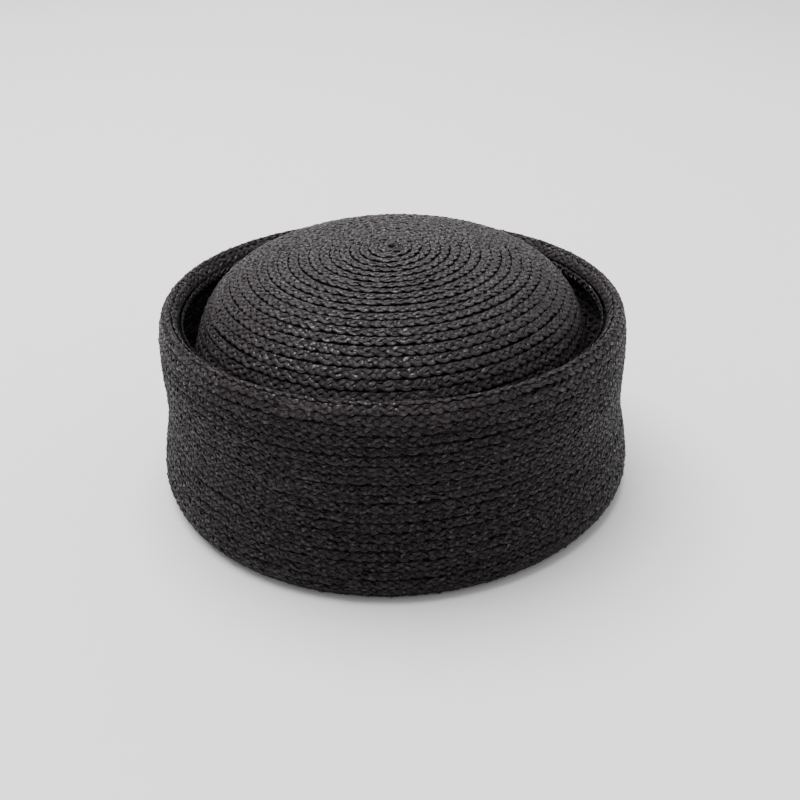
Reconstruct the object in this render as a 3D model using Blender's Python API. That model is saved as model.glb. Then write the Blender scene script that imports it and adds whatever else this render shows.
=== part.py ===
"""Braided straw cap: a domed crown standing inside a side wall, which is the brim turned up all round.

Metres, +Z up. The origin is on the surface that the cap rests on, under the middle of the head opening. The
front of the cap faces -Y. Every piece is a loft of oval rings. The plait is sewn in rows, so the outside is
stepped: the lower edge of each row stands proud of the row under it.
"""

import math

import bmesh
import bpy

# Driving sizes
HEAD_HALF_WIDTH = 0.0897
HEAD_HALF_LENGTH = 0.0955
STRAW_WALL = 0.0024
CROWN_HEIGHT = 0.1130
CROWN_BELLY = 0.0034
WALL_HEIGHT = 0.0900
WALL_SPREAD_SIDE = 0.0184
WALL_SPREAD_FRONT = 0.0109
FOLD_RADIUS = 0.0016
ROW_PITCH = 0.0043
ROW_STEP = 0.0006
EDGE_BRAID_HEIGHT = 0.0056
EDGE_BRAID_RISE = 0.0012
EDGE_BRAID_WALL = 0.0019
PIECE_GAP = 0.0003

# Fineness of the lofts
RING_SIDES = 40
CURVE_STEPS = 24
STEP_SHARE = 0.14
SMOOTH_RING_SPACING = 0.0120
TIP_RING_RADIUS = 0.0020

CROWN_HALF_WIDTH = HEAD_HALF_WIDTH + STRAW_WALL
CROWN_HALF_LENGTH = HEAD_HALF_LENGTH + STRAW_WALL + CROWN_BELLY
CROWN_FOOT_LENGTH = HEAD_HALF_LENGTH + STRAW_WALL
CROWN_FOOT_HEIGHT = STRAW_WALL + PIECE_GAP
WALL_HALF_WIDTH = CROWN_HALF_WIDTH + WALL_SPREAD_SIDE
WALL_HALF_LENGTH = CROWN_HALF_LENGTH + WALL_SPREAD_FRONT

# Crown from its tip down: height, half width and half length, as shares of CROWN_HEIGHT, CROWN_HALF_WIDTH
# and CROWN_HALF_LENGTH. The rows near the tip go round a short core that lies front to back, so they are
# longer ovals.
CROWN_SECTIONS = (
    (1.000, 0.00, 0.000),
    (0.996, 0.14, 0.175),
    (0.985, 0.32, 0.365),
    (0.965, 0.50, 0.535),
    (0.933, 0.66, 0.688),
    (0.880, 0.79, 0.808),
    (0.780, 0.90, 0.911),
    (0.640, 0.96, 0.966),
    (0.460, 1.00, 1.000),
)

# Side wall from its inner edge over the shoulder and down: height, half width and half length, as shares
# of WALL_HEIGHT, WALL_HALF_WIDTH and WALL_HALF_LENGTH, and the swell that makes the front fuller.
WALL_SECTIONS = (
    (0.935, 0.862, 0.905, 0.004),
    (0.975, 0.880, 0.926, 0.004),
    (0.999, 0.903, 0.952, 0.004),
    (0.988, 0.926, 0.970, 0.004),
    (0.945, 0.943, 0.986, 0.005),
    (0.870, 0.953, 0.997, 0.006),
    (0.740, 0.957, 0.999, 0.009),
    (0.600, 0.953, 0.992, 0.012),
    (0.450, 0.956, 0.985, 0.015),
    (0.295, 0.979, 0.995, 0.018),
    (0.150, 0.996, 1.000, 0.018),
    (0.075, 0.991, 0.993, 0.018),
    (0.025, 0.968, 0.970, 0.018),
    (0.000, 0.938, 0.941, 0.018),
)

COLOURS = {
    "crown": (0.030, 0.027, 0.027, 1.0),
    "side_wall": (0.022, 0.020, 0.019, 1.0),
    "edge_braid": (0.034, 0.030, 0.029, 1.0),
}


def clear_scene():
    for item in list(bpy.data.objects):
        bpy.data.objects.remove(item, do_unlink=True)


def straw_material(name, colour):
    material = bpy.data.materials.new(name + "_straw")
    material.use_nodes = True
    shader = material.node_tree.nodes["Principled BSDF"]
    shader.inputs["Base Color"].default_value = colour
    shader.inputs["Roughness"].default_value = 0.55
    shader.inputs["Metallic"].default_value = 0.0
    return material


def between(values, t):
    """The Catmull-Rom value at share t of the way from the second value to the third."""
    a, b, c, d = values
    slope = (c - a) * t
    bend = (2 * a - 5 * b + 4 * c - d) * t**2
    twist = (3 * b - a - 3 * c + d) * t**3
    return (2 * b + slope + bend + twist) / 2


def curve_through(points):
    """A Catmull-Rom curve through the points, sampled finely."""
    first = [2 * a - b for a, b in zip(points[0], points[1])]
    last = [2 * a - b for a, b in zip(points[-1], points[-2])]
    padded = [first, *points, last]
    samples = []
    for before, start, end, after in zip(padded, padded[1:], padded[2:], padded[3:]):
        for step in range(CURVE_STEPS):
            samples.append([
                between(values, step / CURVE_STEPS)
                for values in zip(before, start, end, after)
            ])
    samples.append(list(points[-1]))
    return samples


def mean_profile(ring):
    """The radius halfway between half width and half length, and the height."""
    return (ring[0] + ring[1]) / 2, ring[2]


def lengths_along(curve):
    flat = [mean_profile(ring) for ring in curve]
    lengths = [0.0]
    for here, there in zip(flat, flat[1:]):
        lengths.append(lengths[-1] + math.dist(here, there))
    return lengths


def ring_at(curve, lengths, distance, inset=0.0):
    """The ring at that distance along the curve, moved in by inset along the normal of the mean profile."""
    distance = min(max(distance, 0.0), lengths[-1])
    index = 0
    while index < len(lengths) - 2 and lengths[index + 1] < distance:
        index += 1
    share = (distance - lengths[index]) / (lengths[index + 1] - lengths[index])
    ring = [a + (b - a) * share for a, b in zip(curve[index], curve[index + 1])]
    back = mean_profile(curve[max(index - 1, 0)])
    ahead = mean_profile(curve[min(index + 2, len(curve) - 1)])
    run = math.dist(back, ahead)
    outward = ((back[1] - ahead[1]) / run, (ahead[0] - back[0]) / run)
    ring[0] -= inset * outward[0]
    ring[1] -= inset * outward[0]
    ring[2] -= inset * outward[1]
    return ring


def stepped_rows(curve, lengths, start, end):
    """Rings of sewn rows: each row begins under the edge of the row before it and ends proud."""
    count = max(round((end - start) / ROW_PITCH), 1)
    pitch = (end - start) / count
    rings = []
    for row in range(count):
        top = start + row * pitch
        rings.append(ring_at(curve, lengths, top + STEP_SHARE * pitch, ROW_STEP))
        rings.append(ring_at(curve, lengths, top + pitch))
    return rings


def smooth_rings(curve, lengths, start, end, inset):
    """Evenly spaced rings without rows, both ends included. Start may be past end."""
    count = max(round(abs(end - start) / SMOOTH_RING_SPACING), 2)
    return [ring_at(curve, lengths, start + (end - start) * n / count, inset) for n in range(count + 1)]


def ring_points(ring):
    half_width, half_length, height, swell = ring
    points = []
    for side in range(RING_SIDES):
        angle = 2 * math.pi * side / RING_SIDES
        fuller = 1 + swell * math.sin(3 * angle)
        across = half_width * fuller * math.cos(angle)
        along = half_length * (fuller * math.sin(angle) + swell)
        points.append((across, along, height))
    return points


def loft(name, rings, collection, tip=None, inner_tip=None):
    """A closed body through the rings, which run down the outside and back up the inside. With tips it
    closes at two points on the axis, and without them the last ring joins the first."""
    mesh = bpy.data.meshes.new(name)
    body = bmesh.new()
    circles = [[body.verts.new(point) for point in ring_points(ring)] for ring in rings]
    pairs = list(zip(circles, circles[1:]))
    if tip is None:
        pairs.append((circles[-1], circles[0]))
    for upper, lower in pairs:
        for side in range(RING_SIDES):
            following = (side + 1) % RING_SIDES
            body.faces.new((upper[side], lower[side], lower[following], upper[following]))
    if tip is not None:
        outer_pole = body.verts.new((0.0, 0.0, tip))
        inner_pole = body.verts.new((0.0, 0.0, inner_tip))
        for side in range(RING_SIDES):
            following = (side + 1) % RING_SIDES
            body.faces.new((outer_pole, circles[0][side], circles[0][following]))
            body.faces.new((inner_pole, circles[-1][following], circles[-1][side]))
    body.to_mesh(mesh)
    body.free()
    mesh.shade_smooth()
    mesh.materials.append(straw_material(name, COLOURS[name]))
    piece = bpy.data.objects.new(name, mesh)
    collection.objects.link(piece)
    return piece


def crown_curve():
    """The crown's outer surface from tip to foot, as rings of half width, half length, height and swell."""
    dome = [
        (CROWN_HALF_WIDTH * width, CROWN_HALF_LENGTH * length, CROWN_HEIGHT * height, 0.0)
        for height, width, length in CROWN_SECTIONS
    ]
    foot = (CROWN_HALF_WIDTH, CROWN_FOOT_LENGTH, CROWN_FOOT_HEIGHT, 0.0)
    middle = tuple((a + b) / 2 for a, b in zip(dome[-1], foot))
    return curve_through([*dome, middle, foot])


def make_crown(collection):
    curve = crown_curve()
    lengths = lengths_along(curve)
    foot = lengths[-1]
    shown_height = WALL_HEIGHT * WALL_SECTIONS[0][0] - 2 * EDGE_BRAID_HEIGHT
    shown = next(length for ring, length in zip(curve, lengths) if ring[2] < shown_height)
    rings = stepped_rows(curve, lengths, TIP_RING_RADIUS, shown)
    rings += smooth_rings(curve, lengths, shown + ROW_PITCH, foot, ROW_STEP)
    rings += smooth_rings(curve, lengths, foot, 2 * STRAW_WALL, STRAW_WALL)
    return loft("crown", rings, collection, tip=CROWN_HEIGHT, inner_tip=CROWN_HEIGHT - STRAW_WALL)


def wall_curve():
    """The side wall's outer surface from its inner edge, over the shoulder, down to the resting face."""
    return curve_through([
        (WALL_HALF_WIDTH * width, WALL_HALF_LENGTH * length, WALL_HEIGHT * height, swell)
        for height, width, length, swell in WALL_SECTIONS
    ])


def make_side_wall(collection):
    curve = wall_curve()
    lengths = lengths_along(curve)
    end = lengths[-1]
    rings = [ring_at(curve, lengths, 0.0)]
    rings += stepped_rows(curve, lengths, 0.0, end)
    low = [length for ring, length in zip(curve, lengths) if ring[2] < 2 * STRAW_WALL]
    hollow_end = low[0]
    inside = smooth_rings(curve, lengths, hollow_end, 0.0, STRAW_WALL)
    under = [
        (HEAD_HALF_WIDTH + FOLD_RADIUS, HEAD_HALF_LENGTH + FOLD_RADIUS, 0.0, 0.0),
        (HEAD_HALF_WIDTH, HEAD_HALF_LENGTH, FOLD_RADIUS, 0.0),
        (HEAD_HALF_WIDTH, HEAD_HALF_LENGTH, STRAW_WALL, 0.0),
        (CROWN_HALF_WIDTH, CROWN_FOOT_LENGTH, STRAW_WALL, 0.0),
    ]
    return loft("side_wall", rings + under + inside, collection)


def make_edge_braid(collection):
    """The narrow row that stands on edge inside the shoulder's free edge."""
    wall = wall_curve()
    lip = wall[0]
    lip_inside = ring_at(wall, lengths_along(wall), 0.0, STRAW_WALL)
    seat_width = min(lip[0], lip_inside[0]) - PIECE_GAP
    seat_length = min(lip[1], lip_inside[1]) - PIECE_GAP
    top = lip[2] + EDGE_BRAID_RISE
    swell = lip[3]
    round_off = EDGE_BRAID_WALL / 3
    section = (
        (EDGE_BRAID_WALL - round_off, top),
        (round_off, top),
        (0.0, top - round_off),
        (0.0, top - EDGE_BRAID_HEIGHT + round_off),
        (round_off, top - EDGE_BRAID_HEIGHT),
        (EDGE_BRAID_WALL - round_off, top - EDGE_BRAID_HEIGHT),
        (EDGE_BRAID_WALL, top - EDGE_BRAID_HEIGHT + round_off),
        (EDGE_BRAID_WALL, top - round_off),
    )
    rings = [(seat_width - inward, seat_length - inward, height, swell) for inward, height in section]
    return loft("edge_braid", rings, collection)


def main():
    clear_scene()
    collection = bpy.data.collections.new("braided_straw_cap")
    bpy.context.scene.collection.children.link(collection)
    make_crown(collection)
    make_side_wall(collection)
    make_edge_braid(collection)


main()
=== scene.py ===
import math

import bpy
import numpy as np
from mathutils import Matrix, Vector


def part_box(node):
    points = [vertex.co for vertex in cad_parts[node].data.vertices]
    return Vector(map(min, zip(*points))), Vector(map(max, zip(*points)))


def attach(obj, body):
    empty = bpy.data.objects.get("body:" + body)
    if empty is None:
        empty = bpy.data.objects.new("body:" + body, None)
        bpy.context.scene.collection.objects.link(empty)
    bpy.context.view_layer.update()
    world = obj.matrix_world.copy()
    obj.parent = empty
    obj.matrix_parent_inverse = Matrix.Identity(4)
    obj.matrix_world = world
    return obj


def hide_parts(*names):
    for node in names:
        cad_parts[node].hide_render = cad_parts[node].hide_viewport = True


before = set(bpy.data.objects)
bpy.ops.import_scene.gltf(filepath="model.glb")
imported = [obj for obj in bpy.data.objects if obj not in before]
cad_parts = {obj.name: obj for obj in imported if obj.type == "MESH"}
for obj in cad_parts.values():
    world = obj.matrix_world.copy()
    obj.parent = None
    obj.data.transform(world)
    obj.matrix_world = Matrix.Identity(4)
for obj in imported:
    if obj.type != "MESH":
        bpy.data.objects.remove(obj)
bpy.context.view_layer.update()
print("frame loaded:", sorted(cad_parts))


# Smooth skins that the plait lies on, in shares of the CAD model's own boxes

crownShape = {
    "heights": [1.0, .996, .985, .965, .933, .880, .780, .640, .460],
    "widths": [0.0, .14, .32, .50, .66, .79, .90, .96, 1.0],
    "lengths": [0.0, .175, .365, .535, .688, .808, .911, .966, 1.0],
    "footLength": .9664,  # half length at the head opening
    "footHeight": .0239,
    "boxWidth": .99633,  # share of the full half width that the faceted box shows
    "boxLength": .99203,
}

wallShape = {  # from the inner edge over the shoulder and down to the fold
    "heights": [.935, .975, .999, .988, .945, .870, .740, .600, .450, .295, .150, .075, .025, 0.0],
    "widths": [.862, .880, .903, .926, .943, .953, .957, .953, .956, .979, .996, .991, .968, .938],
    "lengths": [.905, .926, .952, .970, .986, .997, .999, .992, .985, .995, 1.0, .993, .970, .941],
    "swells": [.004, .004, .004, .004, .005, .006, .009, .012, .015, .018, .018, .018, .018, .018],
    "footTurn": [(.0012, .0002), (.0002, .0013), (-.0001, .0031), (-.0001, .0037)],  # metres: wider, higher
    "boxWidth": .99647,
    "boxHeight": .99912,
}


def smoothTable(rows, steps=24):
    # a Catmull-Rom curve through the rows, sampled finely
    rows = np.array(rows, float)
    padded = np.vstack([2 * rows[0] - rows[1], rows, 2 * rows[-1] - rows[-2]])
    t = (np.arange(steps) / steps)[:, None]
    parts = []
    for a, b, c, d in zip(padded, padded[1:], padded[2:], padded[3:]):
        bend = (2 * a - 5 * b + 4 * c - d) * t ** 2
        twist = (3 * b - a - 3 * c + d) * t ** 3
        parts.append((2 * b + (c - a) * t + bend + twist) / 2)
    return np.vstack(parts + [rows[-1:]])


class Skin:
    # an oval surface of turned profile: half width, half length, height and swell,
    # each by the way along the profile
    def __init__(self, rows):
        self.table = smoothTable(rows)
        middle = np.stack([self.table[:, :2].mean(1), self.table[:, 2]], 1)
        steps = np.linalg.norm(np.diff(middle, axis=0), axis=1)
        self.along = np.concatenate([[0], np.cumsum(steps)])
        self.length = float(self.along[-1])

    def column(self, along, index):
        return np.interp(along, self.along, self.table[:, index])

    def place(self, along, angle):
        swell = self.column(along, 3)
        fuller = 1 + swell * np.sin(3 * angle)
        x = self.column(along, 0) * fuller * np.cos(angle)
        y = self.column(along, 1) * (fuller * np.sin(angle) + swell)
        return np.stack([x, y, self.column(along, 2)], -1)

    def outward(self, along, angle):
        step, turn = .0006, .004
        along = np.clip(along, 2 * step, self.length - step)
        down = self.place(along + step, angle) - self.place(along - step, angle)
        around = self.place(along, angle + turn) - self.place(along, angle - turn)
        normal = np.cross(down, around)
        return normal / np.linalg.norm(normal, axis=-1, keepdims=True)


def crownSkin():
    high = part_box("crown")[1]
    width = high.x / crownShape["boxWidth"]
    length = high.y / crownShape["boxLength"]
    rows = [
        (width * w, length * l, high.z * h, 0.0)
        for h, w, l in zip(crownShape["heights"], crownShape["widths"], crownShape["lengths"])
    ]
    foot = (width, length * crownShape["footLength"], high.z * crownShape["footHeight"], 0.0)
    middle = tuple((a + b) / 2 for a, b in zip(rows[-1], foot))
    return Skin(rows + [middle, foot])


def wallSkin():
    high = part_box("side_wall")[1]
    width = high.x / wallShape["boxWidth"]
    height = high.z / wallShape["boxHeight"]
    columns = (wallShape[key] for key in ("heights", "widths", "lengths", "swells"))
    rows = [(width * w, high.y * l, height * h, s) for h, w, l, s in zip(*columns)]
    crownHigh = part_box("crown")[1]
    openWidth = crownHigh.x / crownShape["boxWidth"]
    openLength = crownHigh.y / crownShape["boxLength"] * crownShape["footLength"]
    fold = []
    for share in (.35, .7):  # the flat fold under the wall, in to the head opening
        fold.append((
            rows[-1][0] + (openWidth - rows[-1][0]) * share,
            rows[-1][1] + (openLength - rows[-1][1]) * share,
            0.0,
            wallShape["swells"][-1] * (1 - share),
        ))
    for wider, rise in wallShape["footTurn"]:  # and up again to the crown's foot
        fold.append((openWidth + wider, openLength + wider, rise, 0.0))
    return Skin(rows + fold)


crownSurface = crownSkin()
wallSurface = wallSkin()
print("skins ready: crown", round(crownSurface.length, 4), "m, wall", round(wallSurface.length, 4), "m")


# The plait: three flat straws that cross over and under, swept along a row

samplesPerStraw = 5  # in one period of the plait, for each of its straws
fillerStep = 5  # the filler needs only every fifth sample
endTaper = 8  # samples over which an open end of the plait narrows
floorClear = .00005  # the plait is pressed flat where the cap stands
noRowShade = 9.0  # millimetres across, further out than any painted row shade reaches
turnSteps = 240


def smoothNoise(rng, count, spacing, closed=False):
    # random values that change slowly, one every `spacing` samples
    knots = max(int(count / spacing), 4)
    values = rng.normal(0, 1, knots)
    if closed:
        values = np.concatenate([values, values[:1]])
    else:
        values = np.concatenate([values, rng.normal(0, 1, 1)])
    x = np.linspace(0, knots, count, endpoint=not closed)
    index = np.minimum(x.astype(int), knots - 1)
    share = x - index
    share = share * share * (3 - 2 * share)
    return values[index] * (1 - share) + values[index + 1] * share


class Row:
    # the middle line of a row of plait on a skin: distance travelled, way along the skin, angle
    def __init__(self, skin, start, end, pitch, startAngle, levelTurn=0.0):
        self.skin = skin
        self.closed = pitch == 0
        turns = 1.0 if self.closed else (end - start) / pitch
        turns += levelTurn
        turn = np.linspace(0, turns, int(turns * turnSteps) + 1)
        self.angle = startAngle - 2 * math.pi * turn
        self.along = np.minimum(start + pitch * turn, end)
        points = skin.place(self.along, self.angle)
        steps = np.linalg.norm(np.diff(points, axis=0), axis=1)
        self.way = np.concatenate([[0], np.cumsum(steps)])
        self.length = float(self.way[-1])

    def at(self, way):
        # past the ends of a closed row it goes round again
        laps = np.floor(way / self.length) if self.closed else 0
        rest = way - laps * self.length
        angle = np.interp(rest, self.way, self.angle) - 2 * math.pi * laps
        return np.interp(rest, self.way, self.along), angle


def strawPaths(row, plait, rng):
    # for each straw its distance travelled, place across, lift, width, tilt and tone, sample by sample;
    # the last path is the filler's
    strands, period = plait["strands"], plait["period"]
    perPeriod = samplesPerStraw * strands
    if row.closed:
        periods = round(row.length / period)
        period = row.length / periods
        count = periods * perPeriod
    else:
        count = int(row.length / period * perPeriod / fillerStep) * fillerStep + 1
    way = np.arange(count) * period / perPeriod
    fromEnd = np.minimum(np.arange(count), np.arange(count)[::-1])
    taper = 1.0 if row.closed else np.clip(fromEnd / endTaper + .15, 0, 1)

    def noise(spacing):
        return smoothNoise(rng, count, spacing, row.closed)

    coarse, fine = perPeriod / 5, perPeriod / 8
    pull = noise(perPeriod * .9) * plait["pull"]
    drift = noise(perPeriod * 2) * plait["drift"]
    spread = 1 + noise(perPeriod * .5) * plait["spreadWobble"]
    paths = []
    for k in range(strands):
        turn = way / period + k / strands  # whole numbers at one edge, halves at the other
        zigzag = np.arcsin(plait["corner"] * np.cos(2 * math.pi * turn)) / math.asin(plait["corner"])
        crossing = turn * 2 % 1
        inner = np.clip(np.minimum(crossing, 1 - crossing) * strands, 0, 1)
        wave = -np.cos(strands * math.pi * crossing) * inner
        wave = np.sign(wave) * np.abs(wave) ** plait["liftShape"]
        side = plait["reach"] * spread * zigzag + drift
        side = side + noise(coarse) * plait["sideWobble"]
        lift = plait["lift"] * wave * (1 + .2 * noise(fine))
        lift = lift + noise(coarse) * plait["liftWobble"]
        width = plait["strawWidth"] * (1 + plait["bulge"] * wave) * taper
        width = width * (1 + noise(fine) * plait["widthWobble"])
        travel = way + pull + noise(coarse) * plait["sideWobble"]
        tilt = noise(fine) * plait["twist"]
        piece = np.floor(turn * 2 * strands + .5).astype(int)  # a new tone each time the straw shows
        tone = rng.uniform(0, 1, piece.max() + 2)[piece]
        paths.append((travel, side, lift, width, tilt, tone))
    level = np.zeros(count)
    filler = (way, drift + plait["fillerShift"], level, level + plait["fillerWidth"], level, level)
    return paths + [tuple(values[::fillerStep] for values in filler)]


def slopes(values, lap, closed):
    # change from sample to sample; a closed row goes on one lap further
    if not closed:
        return np.gradient(values)
    lapped = np.concatenate([values[-1:] - lap, values, values[:1] + lap])
    return (lapped[2:] - lapped[:-2]) / 2


def sweepStraw(row, plait, profile, thick, path, keep):
    # one straw, its profile carried along its path: corner places, faces, UVs, and tone and place across
    closed = row.closed
    dTravel, dSide = slopes(path[0], row.length, closed), slopes(path[1], 0.0, closed)
    travel, side, lift, width, tilt, tone, dTravel, dSide = (
        values[keep] for values in (*path, dTravel, dSide)
    )
    run = np.hypot(dTravel, dSide)
    acrossTravel, acrossSide = -dSide / run, dTravel / run
    corners, count = len(profile), len(travel)
    distance = np.concatenate([[0], np.cumsum(np.hypot(np.diff(travel), np.diff(side)))])
    covered = 1.0 if closed else np.clip((travel - plait["freeTurn"]) / plait["freeEase"], 0, 1)
    places, uvs, marks = [], [], []
    for across, rise in profile:
        shift = across / 2 * width
        abreast = side + shift * acrossSide
        along, angle = row.at(travel + shift * acrossTravel)
        droop = np.where(abreast > 0, plait["archLow"], plait["archHigh"])
        body = plait["tilt"] * abreast - droop * abreast ** 2 / .001
        height = plait["seat"] + body * covered + lift + rise * thick + tilt * shift
        along = along + abreast
        if plait["tipClip"]:  # near the tip the way is squeezed, so that nothing passes its middle
            short = plait["tipClip"]
            along = np.where(along < short, short * np.exp((along - short) / short), along)
        place = row.skin.place(along, angle) + row.skin.outward(along, angle) * height[:, None]
        place[:, 2] = np.maximum(place[:, 2], floorClear)
        places.append(place)
        uvs.append(np.stack([distance, np.full(count, (across + 1) / 2)], 1))
        # the second mark is the place across the row in millimetres, which places the painted shade under
        # the next row
        marks.append(np.stack([tone, (abreast * 1000 + plait["rowShadeShift"]) * covered], 1))
    grid = np.arange(corners * count).reshape(corners, count)
    here = grid if closed else grid[:, :-1]
    ahead = np.roll(grid, -1, axis=1) if closed else grid[:, 1:]
    faces = []
    for index in range(corners):
        following = (index + 1) % corners
        under = np.full(here[index].shape, int(following == 0))
        quad = [here[index], ahead[index], ahead[following], here[following], under]
        faces.append(np.stack(quad, -1))
    if not closed:  # a fan from the first corner closes each end
        for ends, order in ((grid[:, 0], -1), (grid[:, -1], 1)):
            for index in range(1, corners - 1):
                fan = [ends[0], ends[index + 1], ends[index]][::order]
                faces.append(np.array([[*fan, -1, 0]]))
    return np.concatenate(places), np.concatenate(faces), np.concatenate(uvs), np.concatenate(marks)


def plaitStraws(row, plait, rng, first=0.0, last=1.0):
    # all straws of a closed row, or of an open one between two shares of its length
    paths = strawPaths(row, plait, rng)
    steps = len(paths[0][0]) - 1
    begin, stop = (round(share * steps / fillerStep) * fillerStep for share in (first, last))
    kinds = [(plait["profile"], plait["strawThick"], 1)] * plait["strands"]
    kinds.append((plait["fillerProfile"], plait["fillerThick"], fillerStep))
    straws = []
    for path, (profile, thick, every) in zip(paths, kinds):
        keep = slice(None) if row.closed else slice(begin // every, stop // every + 1)
        straws.append(sweepStraw(row, plait, profile, thick, path, keep))
    return straws


def joinedMesh(name, parts):
    # one mesh from many arrays of corners and faces; a face with -1 as its fourth corner is a triangle,
    # and the fifth value is 1 on the undersides, whose UVs lie two higher
    places, cornerLists, uvs, marks = (list(column) for column in zip(*parts))
    shift = 0
    for index, corners in enumerate(cornerLists):
        cornerLists[index] = np.where(corners[:, :4] >= 0, corners[:, :4] + shift, -1)
        shift += len(places[index])
    under = np.concatenate([part[1][:, 4] for part in parts])
    places, faces, uvs, marks = (np.concatenate(column) for column in (places, cornerLists, uvs, marks))
    sizes = np.where(faces[:, 3] < 0, 3, 4)
    loops = faces[faces >= 0]
    loopUvs = uvs[loops]
    loopUvs[:, 1] += 2 * np.repeat(under, sizes)
    loopStarts = np.concatenate([[0], np.cumsum(sizes)[:-1]])
    mesh = bpy.data.meshes.new(name)
    mesh.vertices.add(len(places))
    mesh.vertices.foreach_set("co", places.astype(np.float32).ravel())
    mesh.loops.add(len(loops))
    mesh.loops.foreach_set("vertex_index", loops.astype(np.int32))
    mesh.polygons.add(len(faces))
    mesh.polygons.foreach_set("loop_start", loopStarts.astype(np.int32))
    mesh.update(calc_edges=True)
    layer = mesh.uv_layers.new(name="straw")
    layer.data.foreach_set("uv", loopUvs.astype(np.float32).ravel())
    for column, label in enumerate(("tone", "across")):
        attribute = mesh.attributes.new(label, "FLOAT", "POINT")
        attribute.data.foreach_set("value", marks[:, column].astype(np.float32))
    mesh.shade_smooth()
    mesh.validate()
    piece = bpy.data.objects.new(name, mesh)
    bpy.context.scene.collection.objects.link(piece)
    print(name, "has", int((sizes - 2).sum()), "triangles")
    return piece


strawProfile = [(-1.0, -.26), (-.52, .42), (.52, .42), (1.0, -.26)]
flatProfile = [(-1.0, -.5), (-1.0, .5), (1.0, .5), (1.0, -.5)]
fillerProfile = [  # flat, with its inner edge folded up against the row before
    (-1.0, 4.5), (-1.0, 5.5), (-.72, .5), (1.0, .5), (1.0, -.5), (-.72, -.5),
]

crownPlait = {
    "rowPitch": .00473,
    "tipStart": .0008,
    "startAngle": math.radians(156),
    "strands": 3,
    "period": .0148,
    "corner": .92,
    "reach": .00185,
    "strawWidth": .00245,
    "bulge": .10,
    "strawThick": .00056,
    "lift": .00028,
    "liftShape": .8,
    "tilt": .22,
    "archLow": .045,
    "archHigh": -.040,
    "seat": -.00088,
    "pull": .0012,
    "spreadWobble": .07,
    "widthWobble": .10,
    "sideWobble": .00012,
    "liftWobble": .00007,
    "drift": .00020,
    "twist": .16,
    "profile": strawProfile,
    "fillerProfile": fillerProfile,
    "fillerWidth": .0054,
    "fillerShift": -.0004,
    "fillerThick": .00012,
    "rowShadeShift": 0.0,
    "tipClip": .0022,
    "freeTurn": .020,  # the first turn has no row over its inner edge
    "freeEase": .006,
    "seed": 11,
    "levelTurn": .7,  # the last part of the spiral runs level along the foot
    "footMargin": .0034,
    "pieces": {  # shares of the spiral's length
        "crown_top_plait": (0.0, .33),
        "crown_middle_plait": (.33, .66),
        "crown_side_plait": (.66, 1.0),
    },
    "tuckRadius": .0026,
    "tuckDepth": .0013,
    "tuckThick": .0003,
    "tuckTone": .3,
}


def tuckedStart():
    # the plait's first end is turned under the tip and closes its eye
    radius, thick = crownPlait["tuckRadius"], crownPlait["tuckThick"]
    top = crownSurface.place(0.0, 0.0)[2] - crownPlait["tuckDepth"]
    corners = [(0, 0, top), (0, 0, top - thick)]
    faces = []
    for index in range(8):
        angle = index * math.pi / 4
        for height in (top, top - thick):
            corners.append((radius * math.cos(angle), radius * math.sin(angle), height))
        here, ahead = 2 + 2 * index, 2 + 2 * ((index + 1) % 8)
        faces.append([0, here, ahead, -1, 0])
        faces.append([1, ahead + 1, here + 1, -1, 1])
        faces.append([here, here + 1, ahead + 1, ahead, 0])
    uvs = np.array(corners)[:, :2] + (0, .5)
    marks = np.tile([crownPlait["tuckTone"], noRowShade], (len(corners), 1))
    return np.array(corners), np.array(faces), uvs, marks


def makeCrown():
    row = Row(
        crownSurface, crownPlait["tipStart"], crownSurface.length - crownPlait["footMargin"],
        crownPlait["rowPitch"], crownPlait["startAngle"], crownPlait["levelTurn"],
    )
    pieces = []
    for name, (first, last) in crownPlait["pieces"].items():
        rng = np.random.default_rng(crownPlait["seed"])  # the same straws in each piece, so that they meet
        parts = plaitStraws(row, crownPlait, rng, first, last)
        if first == 0:
            parts.append(tuckedStart())
        pieces.append(joinedMesh(name, parts))
    return pieces


wallPlait = {
    **crownPlait,
    "rowPitch": .00434,
    "reach": .00175,
    "strawWidth": .00235,
    "fillerWidth": .0050,
    "firstEdge": .00594,  # lower edge of the first row, from the inner edge of the shoulder
    "edgeReach": .0029,
    "tilt": .21,
    "archLow": .040,
    "archHigh": -.040,
    "seat": -.00086,
    "firstRow": {  # no row lies over its upper edge, so it is flat and not shaded there
        "tilt": .04, "archLow": .010, "archHigh": 0.0, "seat": -.00045, "rowShadeShift": noRowShade,
    },
    "tipClip": None,
    "drift": .00026,
    "sideWobble": .00016,
    "spreadWobble": .10,
    "seed": 23,
    "pieces": {  # from the first row to before the last one
        "wall_upper_plait": (0, 9),
        "wall_middle_plait": (9, 17),
        "wall_lower_plait": (17, None),
    },
}


def makeWall():
    rng = np.random.default_rng(wallPlait["seed"])
    pitch = wallPlait["rowPitch"]
    count = int((wallSurface.length - wallPlait["firstEdge"]) / pitch) + 1
    rows = []
    for index in range(count):
        middle = wallPlait["firstEdge"] + index * pitch - wallPlait["edgeReach"]
        row = Row(wallSurface, middle, middle, 0, rng.uniform(0, 2 * math.pi))
        plait = {**wallPlait, **wallPlait["firstRow"]} if index == 0 else wallPlait
        rows.append(plaitStraws(row, plait, rng))
    print("the wall has", count, "rows")
    pieces = []
    for name, (first, last) in wallPlait["pieces"].items():
        pieces.append(joinedMesh(name, sum(rows[first:last], [])))
    return pieces


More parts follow.
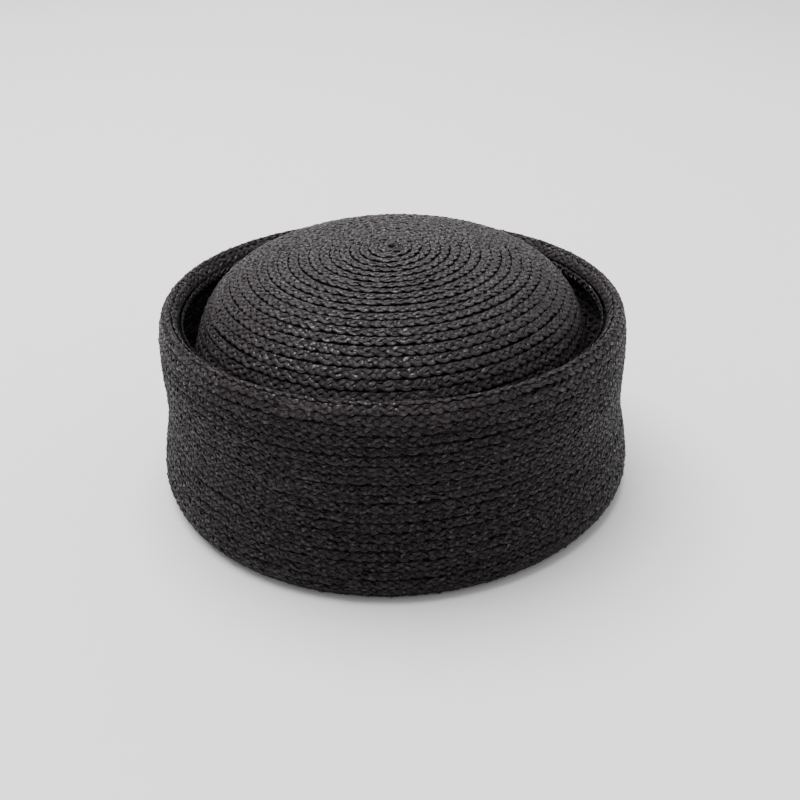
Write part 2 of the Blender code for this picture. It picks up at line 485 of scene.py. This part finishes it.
edgePlait = {
    **crownPlait,
    "corner": .93,
    "reach": .00150,
    "strawWidth": .0022,
    "strawThick": .00050,
    "tilt": 0.0,
    "archLow": 0.0,
    "archHigh": 0.0,
    "seat": 0.0,
    "pull": .0008,
    "spreadWobble": .04,
    "widthWobble": .07,
    "sideWobble": .00006,
    "liftWobble": .00005,
    "drift": .00005,
    "twist": .10,
    "fillerProfile": flatProfile,
    "fillerWidth": .0024,
    "fillerShift": 0.0,
    "rowShadeShift": noRowShade,
    "tipClip": None,
    "seed": 37,
    "inset": .0009,
    "overhang": .0006,
}


def makeEdge():
    rng = np.random.default_rng(edgePlait["seed"])
    low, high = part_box("edge_braid")
    top, bottom = high.z + edgePlait["overhang"], low.z - edgePlait["overhang"]
    width, length = high.x - edgePlait["inset"], high.y - edgePlait["inset"]
    skin = Skin([(width, length, z, wallShape["swells"][0]) for z in (top, (high.z + low.z) / 2, bottom)])
    row = Row(skin, skin.length / 2, skin.length / 2, 0, 0.0)
    return [joinedMesh("edge_plait", plaitStraws(row, edgePlait, rng))]


looseEnds = {
    "shown": [(10, .050), (13, .056), (191, .040)],  # degrees round and way down the wall, as in the photo
    "strewn": 16,
    "between": (.018, .095),
    "length": .0021,
    "width": .0007,
    "thick": .00034,
    "rootDepth": .0006,
    "standOff": .0012,
    "slant": (.0004, .01),  # way down the wall, and radians round to either side
    "seed": 5,
}


def makeLooseEnds():
    rng = np.random.default_rng(looseEnds["seed"])
    spots = list(looseEnds["shown"])
    for _ in range(looseEnds["strewn"]):
        spots.append((rng.uniform(0, 360), rng.uniform(*looseEnds["between"])))
    parts = []
    for degrees, along in spots:
        angle = math.radians(degrees)
        root = wallSurface.place(along, angle)
        out = wallSurface.outward(along, angle)
        slant, turn = looseEnds["slant"]
        way = wallSurface.place(along + slant, angle + rng.choice((-turn, turn))) - root
        way = way / np.linalg.norm(way)
        across = np.cross(out, way)
        corners, uvs = [], []
        for share in (0.0, .4, .75, 1.0):  # four rings of four corners, thinner towards the end
            stand = looseEnds["standOff"] * share - looseEnds["rootDepth"]
            middle = root + out * stand + way * looseEnds["length"] * share
            reach = looseEnds["width"] / 2 * (1 - .7 * share)
            rise = looseEnds["thick"] / 2 * (1 - .5 * share)
            for shift, v in ((-across * reach, 0), (out * rise, .5), (across * reach, 1), (-out * rise, .5)):
                corners.append(middle + shift)
                uvs.append((share * looseEnds["length"], v))
        faces = [[0, 1, 2, 3, 0], [15, 14, 13, 12, 0]]
        for ring in (0, 4, 8):
            for side in range(4):
                following = (side + 1) % 4
                faces.append([ring + side, ring + 4 + side, ring + 4 + following, ring + following, 0])
        marks = np.tile([rng.uniform(.3, 1), noRowShade], (len(corners), 1))
        parts.append((np.array(corners), np.array(faces), np.array(uvs), marks))
    return [joinedMesh("loose_straw_ends", parts)]


crownPieces = makeCrown()
wallPieces = makeWall() + makeLooseEnds()
edgePieces = makeEdge()


# Materials

class Wire:
    # wraps a shader socket, so that maths on it is written as plain Python
    def __init__(self, shader, socket):
        self.shader = shader
        self.socket = socket

    def join(self, operation, first, second):
        return self.shader.add("ShaderNodeMath", {"operation": operation}, {0: first, 1: second})

    def __add__(self, other):
        return self.join("ADD", self, other)

    def __sub__(self, other):
        return self.join("SUBTRACT", self, other)

    def __rsub__(self, other):
        return self.join("SUBTRACT", other, self)

    def __mul__(self, other):
        return self.join("MULTIPLY", self, other)

    __radd__ = __add__
    __rmul__ = __mul__


class Shader:
    def __init__(self, name):
        self.material = bpy.data.materials.new(name)
        self.material.use_nodes = True
        self.tree = self.material.node_tree
        self.tree.nodes.clear()

    def add(self, kind, settings=None, sockets=None, output=0):
        node = self.tree.nodes.new(kind)
        for key, value in (settings or {}).items():
            setattr(node, key, value)
        for key, value in (sockets or {}).items():
            socket = node.inputs[key]
            if isinstance(value, Wire):
                self.tree.links.new(value.socket, socket)
            else:
                socket.default_value = value
        return Wire(self, node.outputs[output]) if len(node.outputs) else None

    def mix(self, share, first, second):
        return self.add(
            "ShaderNodeMix", {"data_type": "RGBA"},
            {"Factor": share, 6: first, 7: second}, output=2,
        )

    def ranged(self, value, start, end, low, high):
        return self.add("ShaderNodeMapRange", {}, {
            "Value": value, "From Min": start, "From Max": end, "To Min": low, "To Max": high,
        })

    def noise(self, place, scale, detail, roughness):
        return self.add("ShaderNodeTexNoise", {}, {
            "Vector": place, "Scale": scale, "Detail": detail, "Roughness": roughness,
        })


def strawMaterial(name, look):
    shader = Shader(name)
    straw = shader.add("ShaderNodeUVMap", {"uv_map": "straw"})
    tone = shader.add("ShaderNodeAttribute", {"attribute_name": "tone"}, output="Fac")
    place = shader.add("ShaderNodeTexCoord", output="Object")
    fibreWay = shader.add("ShaderNodeMapping", {}, {"Vector": straw, "Scale": look["fibreScale"]})
    stepX, stepY = look["toneSteps"]  # each visible length of straw has its own stretch of fibres
    toneShift = shader.add("ShaderNodeCombineXYZ", {}, {"X": tone * stepX, "Y": tone * stepY, "Z": 0.0})
    fibrePlace = shader.add("ShaderNodeVectorMath", {"operation": "ADD"}, {0: fibreWay, 1: toneShift})
    fibre = shader.noise(fibrePlace, 1.0, 3.0, .6)
    patch = shader.noise(place, look["patchScale"], 2.0, .5)
    grain = shader.noise(place, look["grainScale"], 2.0, .6)
    streak = shader.ranged(fibre, *look["streakRange"], 0.0, 1.0)
    across = shader.add("ShaderNodeAttribute", {"attribute_name": "across"}, output="Fac")
    strawAcross = shader.add("ShaderNodeSeparateXYZ", {}, {"Vector": straw}, output="Y")
    outside = shader.add("ShaderNodeMath", {"operation": "LESS_THAN"}, {0: strawAcross, 1: 1.5})
    # painted shade: a near-black band along each row, where the next row lies over it
    rowShade = shader.ranged(across, look["rowShadeStart"], look["rowShadeEnd"], 0.0, look["rowShadeShare"])

    shade = tone * look["toneShare"] + streak * look["fibreShare"] + patch * look["patchShare"]
    colour = shader.mix(shade, look["dark"], look["light"])
    warm = shader.ranged(patch, *look["warmRange"], 0.0, look["warmShare"])
    colour = shader.mix(warm, colour, look["warm"])
    # painted light: the undersides of the straws, which face the channel inside the wall, are made much
    # lighter to stand in for light reaching the channel
    colour = shader.mix((1.0 - outside) * look["insideLightShare"], colour, look["insideLightColour"])
    roughness = look["roughness"] + streak * look["roughStreak"] + tone * look["roughTone"]
    bump = shader.add("ShaderNodeBump", {}, {
        "Strength": look["bump"], "Distance": look["bumpDepth"], "Height": fibre * .7 + grain * .3,
    })
    spark = shader.noise(place, look["glintScale"], 1.0, .5)
    glint = shader.ranged(spark, *look["glintRange"], 0.0, look["glint"])
    straws = shader.add("ShaderNodeBsdfPrincipled", {}, {
        "Base Color": colour,
        "Roughness": roughness,
        "Specular IOR Level": look["specular"],
        "Specular Tint": look["specularTint"],
        "Coat Weight": glint,
        "Coat Roughness": look["glintRoughness"],
        "Normal": bump,
    })
    # painted shade: a near-black, rough surface
    paintedShadeSurface = shader.add("ShaderNodeBsdfPrincipled", {}, {
        "Base Color": look["paintedShadeColour"],
        "Roughness": look["paintedShadeRoughness"],
        "Specular IOR Level": look["paintedShadeSpecular"],
        "Normal": bump,
    })

    # painted shade along both edges of each straw, where it passes under the others
    fromMiddle = shader.add("ShaderNodeMath", {"operation": "ABSOLUTE"}, {0: strawAcross - .5})
    strawEdgeShade = shader.ranged(fromMiddle, look["strawEdgeShadeStart"], .5, 0.0, look["strawEdgeShadeShare"])
    # painted shade in the gaps between the fibres
    fibreGapShade = shader.ranged(fibre, *look["fibreGapShadeRange"], look["fibreGapShadeShare"], 0.0)
    # painted shade, darker towards the bottom of the wall, where less light falls
    level = shader.add("ShaderNodeSeparateXYZ", {}, {"Vector": place}, output="Z")
    lower = shader.ranged(level, look["fullShadeHeight"], look["noShadeHeight"], look["lowShadeShare"], 0.0)
    # the painted shade is mixed in under the next row, along the straws' edges, low on the wall and between
    # the fibres
    finish = shader.add("ShaderNodeMixShader", {}, {
        0: (rowShade + strawEdgeShade + lower) * outside + fibreGapShade, 1: straws, 2: paintedShadeSurface,
    })
    shader.add("ShaderNodeOutputMaterial", {}, {"Surface": finish})
    return shader.material


def paint(pieces, material, nodes):
    for piece in pieces:
        piece.data.materials.clear()
        piece.data.materials.append(material)
        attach(piece, "root")
        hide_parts(*nodes)


crownLook = {
    "fibreScale": (260.0, 3.4, 1.0),
    "toneSteps": (37.0, 91.0),
    "patchScale": 26.0,
    "grainScale": 2600.0,
    "toneShare": .85,
    "fibreShare": .40,
    "streakRange": (.40, .62),
    "patchShare": .10,
    "dark": (.0030, .0023, .0025, 1),
    "light": (.040, .0343, .0362, 1),
    "insideLightShare": 0.0,
    "insideLightColour": (.13, .118, .120, 1),
    "warm": (.022, .0145, .0165, 1),
    "warmRange": (.42, .62),
    "warmShare": .35,
    "roughness": .30,
    "roughStreak": .22,
    "roughTone": .12,
    "specular": .27,
    "specularTint": (1.0, .93, .95, 1),
    "bump": 1.0,
    "bumpDepth": .00090,
    "rowShadeStart": -1.70,  # millimetres from the middle of the row, where the next row lies over it and the painted shade under its edge begins
    "rowShadeEnd": -1.90,
    "rowShadeShare": 1.0,
    "paintedShadeColour": (.0008, .0006, .0006, 1),
    "paintedShadeRoughness": .85,
    "paintedShadeSpecular": .05,
    "fibreGapShadeRange": (.40, .50),  # painted shade between the fibres
    "fibreGapShadeShare": .55,
    "strawEdgeShadeStart": .36,
    "strawEdgeShadeShare": 1.3,
    "glint": 1.0,
    "glintScale": 1000.0,
    "glintRange": (.57, .66),
    "glintRoughness": .22,
    "fullShadeHeight": .076,  # painted shade: below this height the straw turns towards the near-black surface, darker towards the bottom of the wall
    "noShadeHeight": .088,
    "lowShadeShare": 0.0,
}

wallLook = {
    **crownLook,
    "light": (.0415, .0347, .0355, 1),
    "specularTint": (1.0, .90, .925, 1),
    "bumpDepth": .0012,
    # painted light on the undersides of the wall's straws
    "insideLightShare": .85,
    "rowShadeStart": -1.05,
    "rowShadeEnd": -1.45,
    "rowShadeShare": .42,
    "lowShadeShare": .38,
}

edgeLook = {
    **crownLook,
    "toneShare": .35,
    "roughness": .38,
}

paint(crownPieces, strawMaterial("crown straw", crownLook), ["crown"])
paint(wallPieces, strawMaterial("wall straw", wallLook), ["side_wall"])
paint(edgePieces, strawMaterial("edge straw", edgeLook), ["edge_braid"])
print("straw painted")


# Floor, lights and camera

studio = {
    "floorSize": 7.0,
    "floorColour": (.90, .90, .90, 1),
    "floorSpeck": (.93, .93, .93, 1),
    "worldColour": (1, 1, 1, 1),
    "worldStrength": .72,
    "overheadPlace": (-.45, .15, 2.0),
    "overheadSize": 2.0,
    "overheadPower": 78.0,
    "backPlace": (-.5, 1.7, .95),
    "backSize": 1.3,
    "backPower": 6.0,
    "lightsAimAt": (0, 0, .06),
}


def makeFloor():
    bpy.ops.object.select_all(action="DESELECT")
    bpy.ops.mesh.primitive_plane_add(size=studio["floorSize"], location=(0, 0, 0))
    floor = bpy.context.object
    floor.name = "floor"
    shader = Shader("pale floor")
    place = shader.add("ShaderNodeTexCoord", output="Object")
    speck = shader.noise(place, 60.0, 4.0, .5)
    colour = shader.mix(speck, studio["floorColour"], studio["floorSpeck"])
    finish = shader.add("ShaderNodeBsdfPrincipled", {}, {
        "Base Color": colour, "Roughness": .9, "Specular IOR Level": .1,
    })
    shader.add("ShaderNodeOutputMaterial", {}, {"Surface": finish})
    floor.data.materials.append(shader.material)


def makeLight(name, place, size, power):
    data = bpy.data.lights.new(name, "AREA")
    data.shape = "DISK"
    data.size = size
    data.energy = power
    lamp = bpy.data.objects.new(name, data)
    lamp.location = place
    towards = Vector(studio["lightsAimAt"]) - Vector(place)
    lamp.rotation_euler = towards.to_track_quat("-Z", "Y").to_euler()
    bpy.context.scene.collection.objects.link(lamp)


def makeWorld():
    world = bpy.data.worlds.new("studio")
    world.use_nodes = True
    background = world.node_tree.nodes["Background"]
    background.inputs["Color"].default_value = studio["worldColour"]
    background.inputs["Strength"].default_value = studio["worldStrength"]
    bpy.context.scene.world = world


view = {
    "pitchDown": math.radians(26.89),
    "turn": math.radians(11.25),
    "aim": (.0033, 0.0, .0362),
    "distance": .555,
    "pixelsFocal": 1175.0,
    "imageSize": 800.0,
    "sensor": 36.0,
}


def makeCamera():
    pitch, turn = view["pitchDown"], view["turn"]
    back = Vector((0, -math.cos(pitch), math.sin(pitch))) * view["distance"]
    place = Vector(view["aim"]) + back
    data = bpy.data.cameras.new("camera")
    data.sensor_width = view["sensor"]
    data.lens = view["pixelsFocal"] / view["imageSize"] * data.sensor_width
    data.clip_start = .01
    data.clip_end = 50.0
    camera = bpy.data.objects.new("camera", data)
    camera.location = (
        place.x * math.cos(turn) - place.y * math.sin(turn),
        place.x * math.sin(turn) + place.y * math.cos(turn),
        place.z,
    )
    camera.rotation_euler = (math.pi / 2 - pitch, 0, turn)
    bpy.context.scene.collection.objects.link(camera)
    bpy.context.scene.camera = camera


makeFloor()
makeLight("overhead", studio["overheadPlace"], studio["overheadSize"], studio["overheadPower"])
makeLight("back", studio["backPlace"], studio["backSize"], studio["backPower"])
makeWorld()
makeCamera()
print("studio ready")
